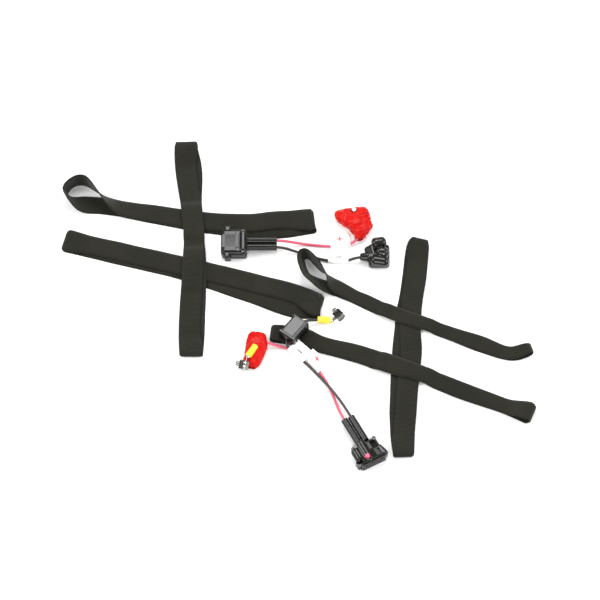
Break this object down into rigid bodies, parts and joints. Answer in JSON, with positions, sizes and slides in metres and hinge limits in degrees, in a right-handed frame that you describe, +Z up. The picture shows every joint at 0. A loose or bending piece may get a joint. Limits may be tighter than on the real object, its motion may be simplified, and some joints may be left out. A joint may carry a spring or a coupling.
{
  "type": "battery strap and wiring lead kit",
  "caption": "Battery box kit laid out flat: webbing lifting straps sewn into crosses and two-wire battery leads with connector, soft boots and bolted ring terminals.",
  "frame": {"origin": "middle of the kit's footprint, on the surface it lies on, without the leads and their flags", "axes": "+X along the cross straps, +Y away from the viewer along the upright straps, +Z up"},
  "size_m": [0.5724, 0.457, 0.0241],
  "materials": {
    "webbing": "matt black woven webbing",
    "thread": "black sewing thread",
    "black_housing": "gloss black moulded",
    "carrier_plastic": "matt black moulded",
    "contact_brass": "plated brass",
    "steel": "zinc plated",
    "dark_steel": "darkened steel",
    "sleeve_rubber": "black shrink tube",
    "red_wire": "red wire insulation",
    "black_wire": "black wire insulation",
    "white_flag": "white vinyl label",
    "red_vinyl": "soft red vinyl",
    "black_vinyl": "soft gloss black vinyl",
    "yellow_vinyl": "yellow terminal insulation",
    "tinned_copper": "tinned copper",
    "red_button": "red button",
    "breaker_case": "breaker case"
  },
  "bodies": {
    "left_straps": {"left_upright_loop": "webbing", "left_upper_cross_loop": "webbing", "left_lower_cross_loop": "webbing", "left_stitching": "thread"},
    "right_straps": {"right_upright_loop": "webbing", "right_upper_cross_loop": "webbing", "right_lower_cross_loop": "webbing", "right_stitching": "thread"},
    "upper_lead_set": {"upper_connector_lower_shell": "black_housing", "upper_connector_upper_shell": "black_housing", "upper_contact_carrier": "carrier_plastic", "upper_contacts": "contact_brass", "upper_connector_screws": "dark_steel", "upper_cable_sleeves": "sleeve_rubber", "upper_red_lead": "red_wire", "upper_black_lead": "black_wire", "upper_plus_flag": "white_flag", "upper_minus_flag": "white_flag", "upper_red_ring_terminal": "tinned_copper", "upper_red_insulation_barrel": "yellow_vinyl", "upper_red_terminal_bolt": "steel", "upper_black_ring_terminal": "tinned_copper", "upper_black_insulation_barrel": "yellow_vinyl", "upper_black_terminal_bolt": "steel"},
    "lower_lead_set": {"lower_connector_lower_shell": "black_housing", "lower_connector_upper_shell": "black_housing", "lower_contact_carrier": "carrier_plastic", "lower_contacts": "contact_brass", "lower_connector_screws": "dark_steel", "lower_cable_sleeves": "sleeve_rubber", "lower_red_lead": "red_wire", "lower_black_lead": "black_wire", "lower_plus_flag": "white_flag", "lower_minus_flag": "white_flag", "lower_red_ring_terminal": "tinned_copper", "lower_red_insulation_barrel": "yellow_vinyl", "lower_red_terminal_bolt": "steel", "lower_black_ring_terminal": "tinned_copper", "lower_black_insulation_barrel": "yellow_vinyl", "lower_black_terminal_bolt": "steel", "circuit_breaker": "breaker_case"},
    "reset_button": {"reset_button": "red_button"},
    "upper_red_washer": {"upper_red_spring_washer": "steel"},
    "upper_red_nut": {"upper_red_terminal_nut": "dark_steel"},
    "upper_black_washer": {"upper_black_spring_washer": "steel"},
    "upper_black_nut": {"upper_black_terminal_nut": "dark_steel"},
    "lower_red_washer": {"lower_red_spring_washer": "steel"},
    "lower_red_nut": {"lower_red_terminal_nut": "dark_steel"},
    "lower_black_washer": {"lower_black_spring_washer": "steel"},
    "lower_black_nut": {"lower_black_terminal_nut": "dark_steel"},
    "upper_red_boot": {"upper_red_boot": "red_vinyl"},
    "upper_black_boot": {"upper_black_boot": "black_vinyl"},
    "lower_red_boot": {"lower_red_boot": "red_vinyl"},
    "lower_black_boot": {"lower_black_boot": "black_vinyl"}
  },
  "joints": [
    {"name": "right_straps_lift", "type": "slide", "parent": "left_straps", "child": "right_straps", "axis": [0, 0, 1], "range_m": [0, 0.06]},
    {"name": "upper_lead_set_lift", "type": "slide", "parent": "left_straps", "child": "upper_lead_set", "axis": [0, 0, 1], "range_m": [0, 0.08]},
    {"name": "lower_lead_set_lift", "type": "slide", "parent": "right_straps", "child": "lower_lead_set", "axis": [0, 0, 1], "range_m": [0, 0.06]},
    {"name": "reset_button_press", "type": "slide", "parent": "lower_lead_set", "child": "reset_button", "axis": [0, 0, -1], "range_m": [0, 0.001], "stiffness_N_per_m": 900},
    {"name": "upper_red_nut_travel", "type": "slide", "parent": "upper_lead_set", "child": "upper_red_washer", "axis": [0, 0, 1], "range_m": [0, 0.0015]},
    {"name": "upper_red_nut_turn", "type": "hinge", "parent": "upper_red_washer", "child": "upper_red_nut", "pos_m": [0.07, 0.12202, 0.0075], "axis": [0, 0, 1], "range_deg": [0, 550]},
    {"name": "upper_black_nut_travel", "type": "slide", "parent": "upper_lead_set", "child": "upper_black_washer", "axis": [0, 0, 1], "range_m": [0, 0.0015]},
    {"name": "upper_black_nut_turn", "type": "hinge", "parent": "upper_black_washer", "child": "upper_black_nut", "pos_m": [0.106, 0.06, 0.0095], "axis": [0, 0, 1], "range_deg": [0, 550]},
    {"name": "lower_red_nut_travel", "type": "slide", "parent": "lower_lead_set", "child": "lower_red_washer", "axis": [-0.974, 0.2209, 0.0502], "range_m": [0, 0.002]},
    {"name": "lower_red_nut_turn", "type": "hinge", "parent": "lower_red_washer", "child": "lower_red_nut", "pos_m": [-0.06185, -0.08895, 0.00714], "axis": [-0.974, 0.2209, 0.0502], "range_deg": [0, 735]},
    {"name": "lower_black_nut_travel", "type": "slide", "parent": "lower_lead_set", "child": "lower_black_washer", "axis": [-0.5997, 0.3498, 0.7197], "range_m": [0, 0.002]},
    {"name": "lower_black_nut_turn", "type": "hinge", "parent": "lower_black_washer", "child": "lower_black_nut", "pos_m": [0.0513, -0.0232, 0.01175], "axis": [-0.5997, 0.3498, 0.7197], "range_deg": [0, 735]},
    {"name": "upper_red_boot_slide", "type": "slide", "parent": "upper_lead_set", "child": "upper_red_boot", "axis": [0.2, -0.9798, 0], "range_m": [0, 0.008]},
    {"name": "upper_black_boot_slide", "type": "slide", "parent": "upper_lead_set", "child": "upper_black_boot", "axis": [-1, 0, 0], "range_m": [0, 0.01]},
    {"name": "lower_red_boot_slide", "type": "slide", "parent": "lower_lead_set", "child": "lower_red_boot", "axis": [0.14, 0.9901, 0], "range_m": [0, 0.008]},
    {"name": "lower_black_boot_slide", "type": "slide", "parent": "lower_lead_set", "child": "lower_black_boot", "axis": [0.5201, 0.8541, 0], "range_m": [0, 0.005]}
  ],
  "couplings": [
    {"joint": "upper_red_nut_turn", "follows": "upper_red_nut_travel", "rad_per_m": 6283.2},
    {"joint": "upper_black_nut_turn", "follows": "upper_black_nut_travel", "rad_per_m": 6283.2},
    {"joint": "lower_red_nut_turn", "follows": "lower_red_nut_travel", "rad_per_m": 6283.2},
    {"joint": "lower_black_nut_turn", "follows": "lower_black_nut_travel", "rad_per_m": 6283.2}
  ]
}
